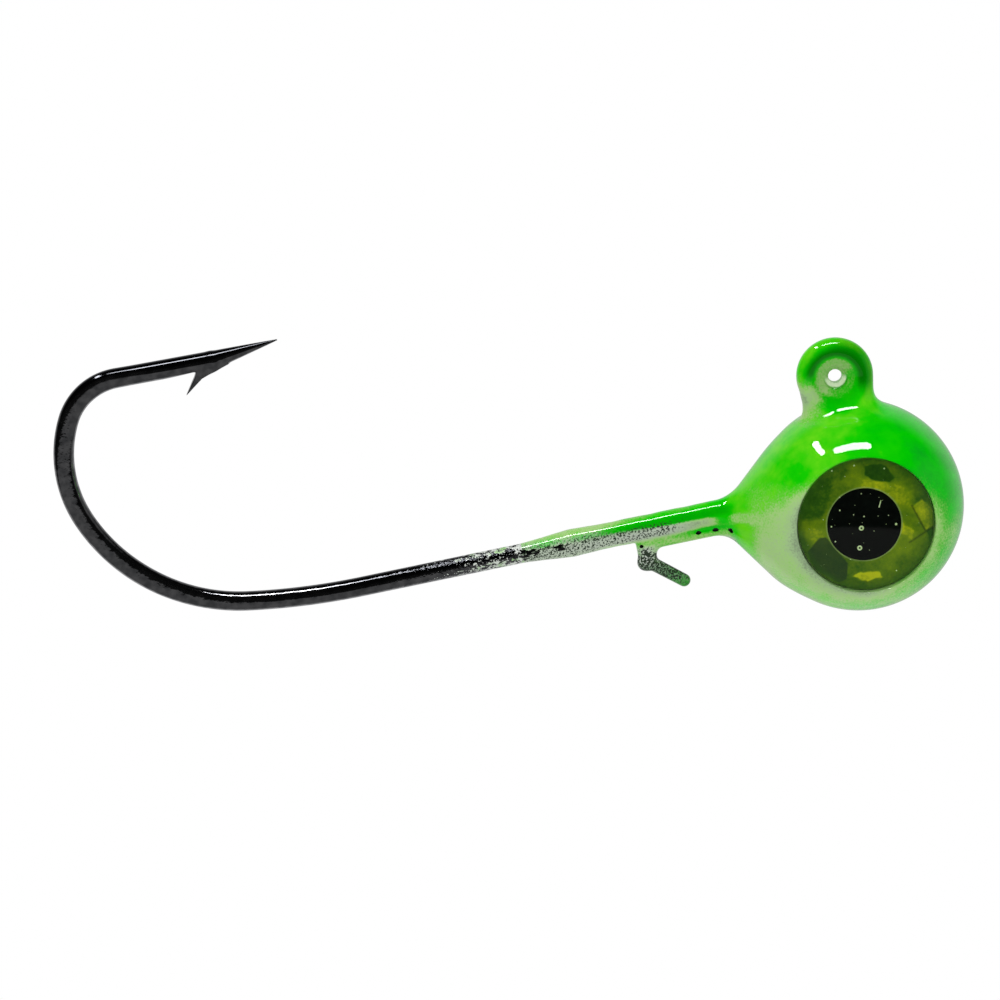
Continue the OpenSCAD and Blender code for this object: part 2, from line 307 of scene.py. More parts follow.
def bend_arcs():
    """Every arc of the hook, as (centre, radius, first angle, turn, length before it)."""
    x, z, heading, run = SHANK_END, SHANK_Z, math.pi, 0.0
    arcs = []
    for radius, turn in BEND:
        turn = math.radians(turn)
        centre = np.array([x + radius * math.sin(heading), z - radius * math.cos(heading)])
        first = heading + math.pi / 2
        arcs.append((centre, radius, first, turn, run))
        heading -= turn
        run += radius * turn
        x = centre[0] - radius * math.sin(heading)
        z = centre[1] + radius * math.cos(heading)
    return arcs, np.array([x, z]), heading, run


ARCS, LIMB_START, LIMB_HEADING, BEND_LEN = bend_arcs()
LIMB_DIR = np.array([math.cos(LIMB_HEADING), math.sin(LIMB_HEADING)])
POINT_START = LIMB_START + LIMB_DIR * LIMB_LEN
POINT_HEADING = LIMB_HEADING + math.radians(POINT_LIFT)
POINT_DIR = np.array([math.cos(POINT_HEADING), math.sin(POINT_HEADING)])


def arc_distance(p, arc):
    """In-plane distance to an arc's centre line, and the distance along the hook's bend."""
    centre, radius, first, turn, run = arc
    x, z = p[:, 0] - centre[0], p[:, 2] - centre[1]
    middle = first - turn / 2
    off = np.mod(np.arctan2(z, x) - middle + math.pi, 2 * math.pi) - math.pi
    off = np.clip(off, -turn / 2, turn / 2)
    near_x, near_z = radius * np.cos(middle + off), radius * np.sin(middle + off)
    return np.hypot(x - near_x, z - near_z), run + radius * (turn / 2 - off)


def line_distance(p, start, direction, length):
    """In-plane distance to a straight centre line, and the distance along it."""
    x, z = p[:, 0] - start[0], p[:, 2] - start[1]
    along = np.clip(x * direction[0] + z * direction[1], 0.0, length)
    return np.hypot(x - along * direction[0], z - along * direction[1]), along


def bend_radius(s):
    """The wire's half width round the bend, wider where it was hammered flat."""
    return WIRE_R + BEND_SPREAD * step01(8.0, 14.0, s) * step01(BEND_LEN + 1.5, BEND_LEN - 2.0, s)


def bend_flats(s):
    """Half of the wire's thickness between the hammered sides."""
    flat = step01(3.0, 10.0, s) * step01(BEND_LEN + 3.0, BEND_LEN + 0.5, s)
    return WIRE_R + FLAT_CLEAR - (FLAT_CLEAR + FLAT_CUT) * flat


def hammered_wire(y, across, s):
    """Distance to the bend's wire, from the in-plane distance to its centre line and that along it."""
    wire = np.hypot(across, y) - bend_radius(s)
    return -join(-wire, bend_flats(s) - y, 0.12)


def wedge(u, w, corners):
    """Distance to a convex outline given by its corners in order."""
    d = np.full(len(u), -9.0)
    for a, b in zip(corners, corners[1:] + corners[:1]):
        edge = np.array([b[0] - a[0], b[1] - a[1]])
        edge = edge / np.linalg.norm(edge)
        d = np.maximum(d, (u - a[0]) * edge[1] - (w - a[1]) * edge[0])
    return d


def barb(p):
    """The barb's sliver and the cut that it was raised from, in the limb's own axes."""
    x, z = p[:, 0] - POINT_START[0], p[:, 2] - POINT_START[1]
    u = x * LIMB_DIR[0] + z * LIMB_DIR[1]
    w = z * LIMB_DIR[0] - x * LIMB_DIR[1]
    root = wedge(u, w, [(-0.78, -0.96), (0.82, -0.33), (0.5, -0.1), (-0.86, -0.3)])
    blade = wedge(u, w, [(-1.78, -1.8), (-0.82, -1.02), (-0.6, -0.3), (-0.88, -0.42)])
    sliver = join(root, blade, 0.12)
    half = 0.27 - 0.13 * step01(-0.6, -1.9, w)
    sliver = -join(-sliver, half - np.abs(p[:, 1]), 0.06)
    cut = wedge(u, w, [(-2.8, -0.8), (-0.93, -0.8), (-0.93, -0.4), (-2.8, -0.575)])
    return sliver, cut


def hook_field(p):
    """The outside of the hook's wire."""
    y = np.abs(p[:, 1])
    ring = ring_tube(p, RING_R, WIRE_R)
    riser_z = SHANK_Z + RISER_BEND_R
    flat, _ = line_distance(p, (0.0, riser_z), (0.0, 1.0), -RING_R - riser_z)
    corner = (np.array([-RISER_BEND_R, riser_z]), RISER_BEND_R, 0.0, math.pi / 2, 0.0)
    turn, _ = arc_distance(p, corner)
    shank, _ = line_distance(p, (-RISER_BEND_R, SHANK_Z), (-1.0, 0.0), -RISER_BEND_R - SHANK_END)
    plain = np.minimum(np.minimum(flat, turn), shank)
    body = np.minimum(ring, np.hypot(plain, y) - WIRE_R)
    for arc in ARCS:
        body = np.minimum(body, hammered_wire(y, *arc_distance(p, arc)))
    across, along = line_distance(p, LIMB_START, LIMB_DIR, LIMB_LEN)
    limb = hammered_wire(y, across, BEND_LEN + along)
    across, along = line_distance(p, POINT_START, POINT_DIR, POINT_LEN)
    taper = POINT_R + (POINT_TIP_R - POINT_R) * (along / POINT_LEN) ** 1.05
    point = np.hypot(across, y) - taper
    sliver, cut = barb(p)
    limb = join(carve(limb, cut, 0.06), point, 0.1)
    return np.minimum(body, join(limb, sliver, 0.26))


# ---- meshing a distance field

BLOCK = 8
BLOCK_REACH = 1.25


def lattice(counts):
    """Every whole-number place in a box of cells."""
    return np.stack(np.meshgrid(*[np.arange(n) for n in counts], indexing="ij"), axis=-1).reshape(-1, 3)


CORNERS = lattice([2] * 3)
EDGES = [(a, b) for a in range(8) for b in range(a + 1, 8) if np.abs(CORNERS[a] - CORNERS[b]).sum() == 1]


def near_blocks(field, low, counts, step):
    """The blocks of cells that the surface may pass through, by their first cell."""
    size = BLOCK * step
    grid = lattice([math.ceil(c / BLOCK) for c in counts])
    centres = low + (grid + 0.5) * size
    return grid[np.abs(field(centres)) < size * BLOCK_REACH] * BLOCK


def cell_values(field, low, blocks, step):
    """The active cells' integer positions and the field at their eight corners."""
    n = BLOCK + 1
    at = low + (blocks[:, None, :] + lattice([n] * 3)[None, :, :]) * step
    values = field(at.reshape(-1, 3)).reshape(len(blocks), n, n, n)
    parts = [values[:, i : i + BLOCK, j : j + BLOCK, k : k + BLOCK] for i, j, k in CORNERS]
    inside = sum((v < 0).astype(np.int8) for v in parts)
    b, i, j, k = np.nonzero((inside > 0) & (inside < 8))
    cells = blocks[b] + np.stack([i, j, k], axis=1)
    return cells, np.stack([v[b, i, j, k] for v in parts], axis=1)


def cell_points(cells, values):
    """One point in each active cell: the mean of where its edges cross the surface."""
    total = np.zeros((len(cells), 3))
    count = np.zeros(len(cells))
    for a, b in EDGES:
        va, vb = values[:, a], values[:, b]
        crosses = (va < 0) != (vb < 0)
        t = np.where(crosses, va / np.where(crosses, va - vb, 1.0), 0.0)
        where = CORNERS[a] + t[:, None] * (CORNERS[b] - CORNERS[a])
        total += where * crosses[:, None]
        count += crosses
    return cells + total / count[:, None]


def cell_quads(cells, values, counts):
    """The faces between active cells, one for each grid edge that crosses the surface."""
    wide = counts + 2 * BLOCK
    stride = np.array([wide[1] * wide[2], wide[2], 1])
    keys = (cells + 1) @ stride
    order = np.argsort(keys)
    ordered = keys[order]
    quads = []
    for axis in range(3):
        u, v = stride[(axis + 1) % 3], stride[(axis + 2) % 3]
        ahead = 1 << (2 - axis)
        inner, outer = values[:, 0] < 0, values[:, ahead] < 0
        for rows, turn in ((inner & ~outer, 1), (~inner & outer, -1)):
            base = keys[rows]
            ring = np.stack([base, base - u, base - u - v, base - v], axis=1)[:, ::turn]
            quads.append(order[np.searchsorted(ordered, ring)])
    return np.concatenate(quads)


def slope(field, points, eps):
    """The field's gradient at each point."""
    gradient = np.empty_like(points)
    for axis in range(3):
        shift = np.zeros(3)
        shift[axis] = eps
        gradient[:, axis] = (field(points + shift) - field(points - shift)) / (2 * eps)
    return gradient


def settle(field, points, step, rounds=3):
    """Slides points onto the surface along the field's gradient."""
    for _ in range(rounds):
        gradient = slope(field, points, step * 0.1)
        size = np.maximum((gradient**2).sum(axis=1), 0.05)
        move = -(field(points) / size)[:, None] * gradient
        points = points + np.clip(move, -0.4 * step, 0.4 * step)
    return points


def field_mesh(field, low, high, step):
    """Points, quads and outward normals of the surface where a field is zero."""
    low, high = np.array(low, float), np.array(high, float)
    counts = np.ceil((high - low) / step).astype(int)
    blocks = near_blocks(field, low, counts, step)
    cells, values = cell_values(field, low, blocks, step)
    points = settle(field, low + cell_points(cells, values) * step, step)
    normals = slope(field, points, step * 0.25)
    normals /= np.maximum(np.linalg.norm(normals, axis=1), 1e-6)[:, None]
    return points, cell_quads(cells, values, counts), normals


# ---- mesh helpers

def new_object(name, data):
    """A new object in the scene."""
    thing = bpy.data.objects.new(name, data)
    bpy.context.scene.collection.objects.link(thing)
    return thing


def new_piece(name, points, faces, slot, material, *nodes, normals=None):
    """A smooth mesh piece in metres that rides the root body and stands for the CAD nodes."""
    mesh = bpy.data.meshes.new(name)
    mesh.materials.append(material)
    mesh.from_pydata((np.asarray(points) * MM).tolist(), [], [list(map(int, f)) for f in faces])
    mesh.polygons.foreach_set("use_smooth", np.ones(len(mesh.polygons), bool))
    mesh.update()
    if normals is None:
        mesh.set_sharp_from_angle(angle=math.radians(SHARP_EDGE))
    else:
        mesh.normals_split_custom_set_from_vertices(normals.tolist())
    piece = new_object(name, mesh)
    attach(piece, "root")
    if nodes:
        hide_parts(*nodes)
    return piece


def paint_values(piece, **layers):
    """Stores numbers per vertex for a material to read."""
    for name, values in layers.items():
        layer = piece.data.attributes.new(name, "FLOAT", "POINT")
        layer.data.foreach_set("value", np.asarray(values, dtype=np.float32))


def turned_mesh(profile, sides):
    """A profile of (radius, distance out) turned about the outward axis. Zero radius closes it."""
    points, faces, rings = [], [], []
    for radius, out in profile:
        count = sides if radius else 1
        rings.append(list(range(len(points), len(points) + count)))
        for i in range(count):
            a = 2 * math.pi * i / sides
            points.append((radius * math.cos(a), radius * math.sin(a), out))
    for lower, upper in zip(rings, rings[1:]):
        for i in range(sides):
            j = (i + 1) % sides
            if len(lower) == 1:
                faces.append((lower[0], upper[j], upper[i]))
            elif len(upper) == 1:
                faces.append((lower[i], lower[j], upper[0]))
            else:
                faces.append((lower[i], lower[j], upper[j], upper[i]))
    return np.array(points), faces


def on_side(points, side):
    """Turns a shape made along +Z to face out of one side of the ball: 1 is +Y and -1 is -Y."""
    p = np.asarray(points, float)
    return np.stack([p[:, 0], side * p[:, 2], -side * p[:, 1]], axis=1) + BALL


# ---- node materials

def srgb(red, green, blue):
    """A display colour, 0 to 255, as the linear values that shaders take."""
    values = []
    for c in (red / 255, green / 255, blue / 255):
        values.append(c / 12.92 if c <= 0.04045 else ((c + 0.055) / 1.055) ** 2.4)
    return (*values, 1.0)


WHITE = (1.0, 1.0, 1.0, 1.0)


class Tree:
    """The node tree of a material or a world, with short ways to add and join nodes."""

    def __init__(self, owner):
        owner.use_nodes = True
        self.owner = owner
        self.tree = owner.node_tree
        self.tree.nodes.clear()

    def put(self, socket, value):
        """Links a socket to another node, or sets it to a number or a colour."""
        if isinstance(value, bpy.types.NodeSocket):
            self.tree.links.new(value, socket)
        else:
            socket.default_value = value

    def add(self, kind, inputs=None, **settings):
        node = self.tree.nodes.new("ShaderNode" + kind)
        for key, value in settings.items():
            setattr(node, key, value)
        for key, value in (inputs or {}).items():
            self.put(node.inputs[key], value)
        return node

    def math(self, operation, a, b=0.0, clamp=False):
        return self.add("Math", {0: a, 1: b}, operation=operation, use_clamp=clamp).outputs[0]

    def add_scaled(self, base, extra, scale):
        """base + extra * scale"""
        return self.add("Math", {0: extra, 1: scale, 2: base}, operation="MULTIPLY_ADD").outputs[0]

    def rise(self, value, low, high, smooth=True):
        """0 at low and 1 at high, and the same the other way round if low is the larger."""
        kind = "SMOOTHSTEP" if smooth else "LINEAR"
        inputs = {"Value": value, "From Min": low, "From Max": high}
        return self.add("MapRange", inputs, interpolation_type=kind).outputs[0]

    def noise(self, size_mm, detail=2.0, seed=0.0, stretch=1.0):
        """Noise about size_mm across and stretch times longer along the hook, from -0.5 to 0.5."""
        place = self.add("TexCoord").outputs["Object"]
        place = self.add("Mapping", {"Vector": place, "Scale": (1.0 / stretch, 1.0, 1.0)}).outputs[0]
        inputs = {"Vector": place, "Scale": 1.0 / (size_mm * MM), "Detail": detail, "W": seed}
        factor = self.add("TexNoise", inputs, noise_dimensions="4D").outputs["Fac"]
        return self.math("SUBTRACT", factor, 0.5)

    def value(self, name):
        """A number that the mesh holds for each vertex."""
        return self.add("Attribute", attribute_name=name).outputs["Fac"]

    def ramp(self, factor, stops):
        """A colour ramp of stops given as (place, red, green, blue)."""
        node = self.add("ValToRGB", {"Fac": factor})
        marks = node.color_ramp.elements
        while len(marks) < len(stops):
            marks.new(0.5)
        for mark, (at, *colour) in zip(marks, stops):
            mark.position, mark.color = at, srgb(*colour)
        return node.outputs["Color"]

    def mix(self, factor, a, b):
        return self.add("Mix", {0: factor, 6: a, 7: b}, data_type="RGBA").outputs[2]

    def bump(self, height, distance_mm):
        return self.add("Bump", {"Height": height, "Distance": distance_mm * MM}).outputs["Normal"]

    def blend(self, factor, first, second):
        """A mix of two shaders."""
        return self.add("MixShader", {0: factor, 1: first.outputs[0], 2: second.outputs[0]})

    def finish(self, shader, kind="Material"):
        self.add("Output" + kind, {"Surface": shader.outputs[0]})
        return self.owner


def new_tree(name):
    return Tree(bpy.data.materials.new(name))


def metal_shows(t):
    """1 where the spray left the metal bare: streaks and specks that the dust value thins out."""
    dust = t.value("dust")
    fleck = t.add_scaled(t.noise(0.15, 3.0, 1.0, 2.2), t.noise(0.1, 1.0, 2.0), 0.5)
    limit = t.add_scaled(0.5, dust, -0.58)
    return t.rise(t.math("SUBTRACT", limit, fleck), -0.015, 0.015)


def paint_material():
    """Sprayed green over a pale undercoat, speckled where it thins, under a clear gloss coat, with painted
    shade and a painted highlight round the ear's ring and tie hole.
    """
    t = new_tree("green_paint")
    cover, grime = t.value("cover"), t.value("grime")
    grain = t.noise(0.12, 2.0)
    cloud = t.noise(1.2, 2.0, 4.0)
    edge = t.math("MULTIPLY", cover, t.math("SUBTRACT", 1.0, cover))
    level = t.add_scaled(cover, grain, t.add_scaled(0.16, edge, 1.8))
    level = t.add_scaled(level, cloud, t.add_scaled(0.1, edge, 1.6))
    pales = ((0.0, 138, 164, 124), (0.14, 176, 213, 150), (0.32, 178, 225, 138), (0.6, 134, 218, 84))
    pale = t.mix(t.math("MULTIPLY", grime, 0.75), t.ramp(level, pales), srgb(206, 214, 204))
    tint = t.add_scaled(t.value("tint"), cloud, 0.8)
    tint = t.add_scaled(tint, t.noise(0.45, 2.0, 9.0), 0.35)
    greens = ((0.0, 6, 187, 26), (0.35, 0, 214, 0), (0.6, 22, 222, 0), (1.0, 110, 234, 28))
    colour = t.mix(t.rise(level, 0.34, 0.8), pale, t.ramp(tint, greens))
    # A darker green: partly the paint's own tone, partly painted shade on the ear's ring and at the tie
    # hole's lip.
    colour = t.mix(t.value("deep"), colour, srgb(0, 116, 0))
    # Painted highlight: the tie hole's lit lower wall in a pale colour.
    colour = t.mix(t.value("pearl"), colour, srgb(236, 255, 216))
    specks = t.rise(t.add_scaled(t.noise(0.1, 1.5, 2.0), grime, 0.22), 0.2, 0.3)
    colour = t.mix(t.math("MULTIPLY", specks, grime), colour, srgb(44, 58, 42))
    colour = t.mix(metal_shows(t), colour, srgb(9, 10, 10))
    coat = {
        "Base Color": colour,
        "Roughness": 0.5,
        "Specular IOR Level": 0.0,
        "Coat Weight": 1.0,
        "Coat Roughness": 0.03,
        "Coat Normal": t.bump(t.noise(0.6, 1.0, 7.0), 0.006),
    }
    return t.finish(t.add("BsdfPrincipled", coat))


def hook_material():
    """Black nickel, rough and dusted with spray near the head; painted darker on its upward-facing side,
    less where it is hammered, as painted shade that dims its highlight.
    """
    t = new_tree("black_nickel")
    marks = t.noise(0.5, 3.0, 3.0)
    lines = t.noise(0.12, 2.0, 5.0, 6.0)
    metal = t.mix(t.rise(marks, -0.2, 0.2), srgb(112, 113, 116), srgb(152, 152, 154))
    # Painted shade: the metal is darkened where it faces up, half as much where hammered, so the key
    # light's reflection there is dimmer.
    facing_up = t.add("SeparateXYZ", {0: t.add("NewGeometry").outputs["Normal"]}).outputs["Z"]
    smooth = t.add_scaled(1.0, t.value("hammered"), -0.5)
    metal = t.mix(t.math("MULTIPLY", t.rise(facing_up, 0.1, 0.5), smooth), metal, srgb(58, 59, 62))
    dusted = t.math("SUBTRACT", 1.0, metal_shows(t))
    heavy = t.rise(t.value("dust"), 0.6, 0.9)
    green = t.math("MULTIPLY", t.rise(t.noise(0.5, 1.0, 8.0), -0.05, 0.2), heavy)
    dust = t.mix(green, srgb(226, 232, 224), srgb(158, 212, 132))
    hammered = t.math("MULTIPLY", t.noise(0.3, 2.0, 6.0), t.value("hammered"))
    crust = t.math("MULTIPLY", t.noise(0.14, 2.0, 13.0), t.value("dust"))
    height = t.add_scaled(t.add_scaled(t.math("MULTIPLY", marks, 0.4), lines, 0.04), hammered, 1.5)
    height = t.add_scaled(height, crust, 8.0)
    metal_look = {
        "Base Color": t.mix(dusted, metal, dust),
        "Metallic": t.math("SUBTRACT", 1.0, dusted),
        "Roughness": t.add_scaled(t.add_scaled(0.08, lines, 0.1), dusted, 0.35),
        "Normal": t.bump(height, 0.012),
    }
    return t.finish(t.add("BsdfPrincipled", metal_look))


def foil_material():
    """Shattered holographic film: patches of olive, yellow and dark green with crack lines."""
    t = new_tree("holographic_foil")
    wash = t.add_scaled(t.math("MULTIPLY", t.noise(0.55, 3.0, 6.0), 0.4), t.noise(0.16, 2.0, 12.0), 0.36)
    level = t.math("ADD", t.value("tone"), wash, clamp=True)
    stops = ((0.0, 28, 74, 4), (0.28, 54, 100, 8), (0.5, 106, 134, 12), (0.74, 136, 156, 5))
    colour = t.ramp(level, (*stops, (0.98, 222, 214, 22)))
    marks = (
        ("slate", 0.8, srgb(38, 64, 44)),
        ("rim", 0.6, srgb(62, 108, 26)),
        ("crack", 0.65, srgb(34, 56, 8)),
        ("gap", 0.6, srgb(178, 192, 136)),
    )
    for name, strength, shade in marks:
        colour = t.mix(t.math("MULTIPLY", t.value(name), strength), colour, shade)
    foil = {"Base Color": colour, "Metallic": 0.1, "Roughness": 0.4, "Specular IOR Level": 0.2}
    return t.finish(t.add("BsdfPrincipled", foil))


def pupil_material():
    """Gloss black print with the faintest grain."""
    t = new_tree("black_print")
    colour = t.mix(t.rise(t.noise(0.3, 2.0), -0.3, 0.3), srgb(1, 5, 8), srgb(5, 12, 14))
    ink = {"Base Color": colour, "Roughness": 0.5, "Specular IOR Level": 0.1}
    return t.finish(t.add("BsdfPrincipled", ink))


def lens_material():
    """Clear resin: it passes light with a slight tint and mirrors its surroundings at its face."""
    t = new_tree("clear_resin")
    through = t.add("BsdfTransparent", {"Color": srgb(246, 252, 240)})
    gloss = t.add("BsdfGlossy", {"Roughness": 0.02, "Normal": t.bump(t.noise(1.5, 1.0), 0.004)})
    front = t.math("SUBTRACT", 1.0, t.add("NewGeometry").outputs["Backfacing"])
    facing = t.add("LayerWeight", {"Blend": 0.5}).outputs["Facing"]
    shine = t.add_scaled(0.04, t.math("POWER", facing, 5.0), 0.96)
    return t.finish(t.blend(t.math("MULTIPLY", shine, front), through, gloss))


def plain_material(name, dark, pale, size_mm, roughness, metallic=0.0):
    """A material that only varies a little between two colours."""
    t = new_tree(name)
    colour = t.mix(t.rise(t.noise(size_mm, 3.0), -0.3, 0.3), dark, pale)
    inputs = {"Base Color": colour, "Roughness": roughness, "Metallic": metallic}
    return t.finish(t.add("BsdfPrincipled", inputs))


def floor_material():
    """A pale table that looks evenly lit to the camera and still catches the studio light."""
    t = new_tree("pale_table")
    colour = t.mix(t.rise(t.noise(40.0), -0.3, 0.3), srgb(236, 236, 236), srgb(242, 242, 242))
    table = t.add("BsdfDiffuse", {"Color": colour})
    lit = t.add("Emission", {"Color": WHITE, "Strength": 1.0})
    return t.finish(t.blend(t.add("LightPath").outputs["Is Camera Ray"], table, lit))


# ---- paint patterns
# Places on the ball are in ball radii across and up as the spray gun saw it. Places along the wires
# are mm from the ball's centre, toward the nose. Angles are degrees.

def spray_axes(p):
    """Directions across (toward the nose) and up as the spray gun saw them, the same on both sides."""
    rel = p - BALL
    n = rel / np.maximum(np.linalg.norm(rel, axis=1), 1e-6)[:, None]
    lift, turn = math.radians(SPRAY_LIFT), math.radians(SPRAY_TURN)
    upright = n[:, 2] * math.cos(lift) - np.abs(n[:, 1]) * math.sin(lift)
    across = n[:, 0] * math.cos(turn) - upright * math.sin(turn)
    up = upright * math.cos(turn) + n[:, 0] * math.sin(turn)
    return across, up, np.degrees(np.arccos(np.clip(np.abs(n[:, 1]), 0.0, 1.0)))


def spot(across, up, at, size):
    """1 at a place on the ball, fading over a size given in ball radii."""
    return np.exp(-((across - at[0]) ** 2 + (up - at[1]) ** 2) / size**2)


def head_paint(p):
    """The ball and neck: how thickly the green was sprayed, and its tint from cool to yellow."""
    across, up, rim = spray_axes(p)
    top = step01(-0.42, 0.58, up)
    nose = 0.45 * step01(0.4, 0.95, across)
    under = 0.34 * step01(0.3, 0.85, -up + 0.1 * across)
    cover = 1.0 - (1.0 - top) * (1.0 - nose) * (1.0 - under)
    reach = 6.0 + 3.0 * step01(0.3, -0.5, across + up)
    halo = bell(rim, 39.5, reach) * (1.0 - 0.85 * step01(0.0, 0.5, across))
    cover = (0.24 + 0.76 * cover) * (1.0 - halo * (0.2 + 0.66 * step01(0.25, -0.1, up)))
    cover -= 0.25 * spot(across, up, (-0.53, 0.5), 0.12) + 0.1 * spot(across, up, (0.5, 0.8), 0.16)
    cover += 0.15 * spot(across, up, (-0.62, 0.32), 0.16)
    above = p[:, 2] - SHANK_Z
    collar = step01(0.05, 0.35, above) * step01(1.5, 1.0, above) + step01(-0.35, -0.65, above)
    cover += 0.75 * collar * bell(p[:, 0] - BALL[0], -7.3, 0.75)
    left = step01(0.15, -0.45, across)
    tint = 0.42 + 0.45 * left - 0.3 * step01(0.2, 0.75, across)
    tint -= 0.35 * spot(across, up, (-0.62, 0.32), 0.17)
    return np.clip(cover, 0.0, 1.0), tint


def shank_side(p, radius):
    """Height above the shank's centre line, as a share of a radius."""
    return (p[:, 2] - SHANK_Z) / radius


def wire_paint(p):
    """The same for the sleeve over the shank and for the keeper."""
    x, side = p[:, 0] - BALL[0], shank_side(p, SLEEVE_R)
    strong = step01(-16.2, -11.5, x)
    band = step01(-0.15, 0.3, side - 0.15 * step01(-10.0, -14.0, x)) * (0.45 + 0.55 * strong)
    crest = 0.45 * step01(0.62, 0.95, side)
    below = 0.4 * step01(-0.6, -1.0, side)
    cover = np.maximum(band * (1.0 - crest), below) + 0.1
    lowered = ((side + 0.45) / 0.35) ** 2 * step01(-0.2, -0.6, side)
    cover += 0.75 * bell(x, -7.9, 0.6) * np.exp(-lowered)
    cover += 0.5 * bell(x, -8.9, 1.1) * bell(side, -0.95, 0.3)
    spike = keeper_arm(p)
    cover = cover * (1.0 - spike) + (0.36 + 0.24 * step01(-1.2, -2.6, p[:, 2] - KEEPER_Z)) * spike
    tint = 0.4 + 0.25 * crest
    return np.clip(cover, 0.0, 1.0), tint


def keeper_arm(p):
    """1 on the keeper's leg and spike, 0 on its run under the shank."""
    above = p[:, 2] - KEEPER_Z
    leg = bell(p[:, 0], LEG_X + 0.1, 0.6) * step01(0.1, -0.3, above)
    return np.maximum(leg, step01(-0.3, -0.75, above))


def ear_paint(p):
    """The same for the ear: a darker green band round the top of the ring, partly the paint's own tone and
    partly painted shade and a painted reflection of the dark room; a painted shade line at the tie hole's
    lower lip; and a painted highlight on the hole's lit lower wall.
    """
    radial = np.hypot(p[:, 0], p[:, 2])
    angle = np.degrees(np.arctan2(p[:, 2], p[:, 0])) + SPRAY_TURN
    angle = np.mod(angle + 90.0, 360.0) - 90.0
    thin = bell(angle, 214.0, 30.0) * step01(1.0, 1.6, radial)
    web = step01(1.4, 1.0, radial) * (1.0 - 0.45 * step01(0.1, -0.7, p[:, 2] - 0.7 * p[:, 0]))
    cover = np.clip(1.0 - 0.8 * thin - 0.68 * web - 0.12 * step01(1.9, 2.2, radial), 0.0, 1.0)
    # A darker green band over the top of the ring: partly the paint's own tone, partly painted shade and a
    # painted reflection of the dark room under the ring's highlight.
    reach = 0.34 + 0.5 * step01(120.0, 40.0, angle) * (radial > 1.5)
    band = bell(radial, 1.5, reach)
    deep = band * step01(-40.0, 0.0, angle) * step01(200.0, 165.0, angle) * (1.0 - web)
    low_half = step01(0.12, -0.2, p[:, 2])
    # Painted highlight: the lower wall of the tie hole, lit from above, as a pale crescent.
    pearl = step01(0.64, 0.6, radial) * step01(0.38, 0.42, radial) * low_half
    # Painted shade: a thin dark line round the lower lip of the tie hole.
    deep += 0.7 * bell(radial, 0.68, 0.045) * low_half
    deep = np.maximum(deep, 0.25 * step01(1.9, 1.2, radial))
    tint = 0.45 + 0.35 * step01(1.7, 2.1, radial)
    return cover, tint, 0.95 * deep, pearl


def dust_values(p):
    """How much spray reached the metal: above 1 it is fully covered, and it fades behind the sleeve."""
    x, side = p[:, 0] - BALL[0], shank_side(p, WIRE_R)
    ragged = x + 0.9 * step01(0.35, 0.85, np.abs(side)) * np.where(side > 0, 1.0, 1.5)
    covered = 0.9 * step01(-19.4, -17.2, ragged)
    crest = step01(0.6, 0.8, side)
    thin = 0.9 * step01(-31.0, -20.5, x) * (0.8 + 0.2 * np.maximum(step01(0.1, -0.3, side), crest))
    return thin + covered


def paint_skin():
    """All three coats as one glossy skin, with the numbers that its material reads."""
    low = np.array([SLEEVE_END, -BALL_R, COAT_LOW[2]]) - 0.4
    high = np.array([COAT_HIGH[0], BALL_R, COAT_HIGH[2]]) + 0.4
    points, quads, normals = field_mesh(skin_field, low, high, SKIN_STEP)
    nodes = ("base_coat", "colour_coat", "clear_coat")
    paint = paint_material()
    piece = new_piece("paint_skin", points, quads, "clear_lacquer", paint, *nodes, normals=normals)
    x, side = points[:, 0] - BALL[0], shank_side(points, SLEEVE_R)
    on_wire = step01(-6.9, -7.9, x)
    on_ear = step01(-2.9, -1.9, points[:, 2])
    ear_cover, ear_tint, deep, pearl = ear_paint(points)
    values = np.array(head_paint(points)) * (1 - on_wire) + np.array(wire_paint(points)) * on_wire
    cover, tint = values * (1 - on_ear) + np.array([ear_cover, ear_tint]) * on_ear
    specked = step01(-9.0, -11.5, x) * step01(0.75, 0.25, side) * step01(-1.0, -0.5, side)
    specked = np.maximum(specked, 0.9 * step01(-13.8, -15.8, x) * step01(0.95, 0.5, side))
    arm, above = keeper_arm(points) * on_wire, points[:, 2] - KEEPER_Z
    grime = np.maximum(0.1 * step01(0.2, 0.08, cover), specked * on_wire)
    grime = np.maximum(grime, arm * (1.3 - 0.5 * step01(-2.2, -2.7, above)))
    patch = spot(x, points[:, 2] - SHANK_Z, (-17.6, 0.02), 0.42)
    hollow = bell(np.maximum(pits(points) - 0.01, 0.0), 0.0, 0.05)
    dust = dust_values(points) - 0.9 * patch * (np.abs(points[:, 1]) > 0.3) - 1.6 * hollow
    # The darker green holds the ear's painted shade. It also darkens the lower keeper spike and a band
    # along the upper side of the sleeve.
    deep = deep * on_ear + 0.65 * arm * step01(-0.8, -1.6, above)
    deep += 0.35 * on_wire * step01(-18.0, -14.0, x) * step01(-0.1, 0.3, side) * step01(0.85, 0.55, side)
    paint_values(piece, cover=cover, tint=tint, deep=deep, pearl=pearl * on_ear, grime=grime, dust=dust)


def hook_piece():
    """The hook as one wire, from its ring to its point."""
    low = np.array([HOOK_LOW[0] - 0.4, -1.0, HOOK_LOW[2] - 0.4])
    high = np.array([2.6, 1.0, HOOK_HIGH[2] + 0.6])
    points, quads, normals = field_mesh(hook_field, low, high, HOOK_STEP)
    nickel = hook_material()
    piece = new_piece("hook_wire", points, quads, "black_nickel", nickel, "hook", normals=normals)
    bent = step01(SHANK_END + 1.0, SHANK_END - 4.0, points[:, 0])
    bent *= step01(LIMB_START[1] + 0.3, LIMB_START[1] - 2.0, points[:, 2])
    paint_values(piece, dust=dust_values(points), hammered=bent)


# ---- the eyes

